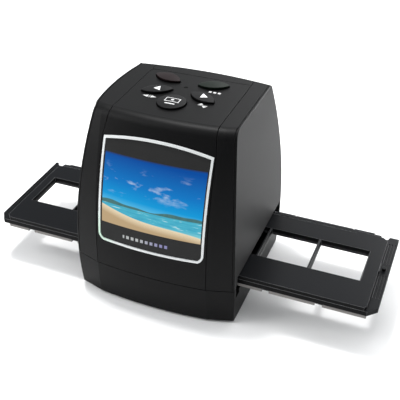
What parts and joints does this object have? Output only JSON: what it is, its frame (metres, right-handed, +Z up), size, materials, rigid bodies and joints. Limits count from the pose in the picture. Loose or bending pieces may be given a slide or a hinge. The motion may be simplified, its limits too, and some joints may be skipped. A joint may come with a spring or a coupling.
{
  "type": "film negative scanner",
  "caption": "Upright film negative scanner with a leaning colour display, keys on the top and a long hinged film holder that slides through its base.",
  "frame": {"origin": "on the table, in the body's plane of symmetry and under the middle of its lens and display", "axes": "+X to the right along the film holder, +Y to the rear, +Z up; the display faces -Y"},
  "size_m": [0.211, 0.0879, 0.1039],
  "materials": {
    "case": "fine-grained satin black",
    "side": "fine-grained satin black",
    "base": "satin black",
    "foot": "soft matt",
    "screw": "zinc plated",
    "trim": "satin bright",
    "window": "clear with a black printed border",
    "lcd": "lit picture",
    "key_black": "satin",
    "key_red": "satin",
    "key_green": "satin",
    "board": "solder mask",
    "chips": "moulded",
    "switch": "moulded",
    "lamp": "clear",
    "optics": "dull black",
    "barrel": "black anodised",
    "guide": "smooth",
    "opal": "opal",
    "light_board": "white solder mask",
    "spring": "bright",
    "socket_metal": "tinned",
    "jack": "moulded",
    "holder": "dull black",
    "lid": "dull black",
    "pin": "bright"
  },
  "bodies": {
    "body": {"center_panel": "case", "left_shell": "side", "right_shell": "side", "rear_cover": "case", "base": "base", "feet": "foot", "base_screws": "screw", "screen_trim": "trim", "screen_window": "window", "lcd_module": "lcd", "key_board": "board", "key_switches": "switch", "indicator_lens": "lamp", "main_board": "board", "board_parts": "chips", "board_screws": "screw", "sensor_board": "board", "lens_barrel": "barrel", "optical_chimney": "optics", "upper_film_guide": "guide", "lower_film_guide": "guide", "diffuser": "opal", "backlight_board": "light_board", "click_springs": "spring", "io_board": "board", "usb_socket": "socket_metal", "card_socket": "socket_metal", "av_socket": "jack"},
    "holder": {"holder_tray": "holder", "hinge_pins": "pin"},
    "lid": {"holder_lid": "lid"},
    "power_button": {"power_button": "key_red"},
    "menu_button": {"menu_button": "key_green"},
    "left_button": {"left_button": "key_black"},
    "right_button": {"right_button": "key_black"},
    "scan_button": {"scan_button": "key_black"}
  },
  "joints": [
    {"name": "holder_slide", "type": "slide", "parent": "body", "child": "holder", "axis": [1, 0, 0], "range_m": [-0.0873, 0.0753]},
    {"name": "lid_hinge", "type": "hinge", "parent": "holder", "child": "lid", "pos_m": [0.006, 0.0231, 0.0253], "axis": [-1, 0, 0], "range_deg": [0, 0.4]},
    {"name": "power_button_press", "type": "slide", "parent": "body", "child": "power_button", "axis": [0, 0, 1], "range_m": [-0.0008, 0], "stiffness_N_per_m": 400},
    {"name": "menu_button_press", "type": "slide", "parent": "body", "child": "menu_button", "axis": [0, 0, 1], "range_m": [-0.0008, 0], "stiffness_N_per_m": 400},
    {"name": "left_button_press", "type": "slide", "parent": "body", "child": "left_button", "axis": [0, 0, 1], "range_m": [-0.0008, 0], "stiffness_N_per_m": 400},
    {"name": "right_button_press", "type": "slide", "parent": "body", "child": "right_button", "axis": [0, 0, 1], "range_m": [-0.0008, 0], "stiffness_N_per_m": 400},
    {"name": "scan_button_press", "type": "slide", "parent": "body", "child": "scan_button", "axis": [0, 0, 1], "range_m": [-0.0008, 0], "stiffness_N_per_m": 400}
  ]
}
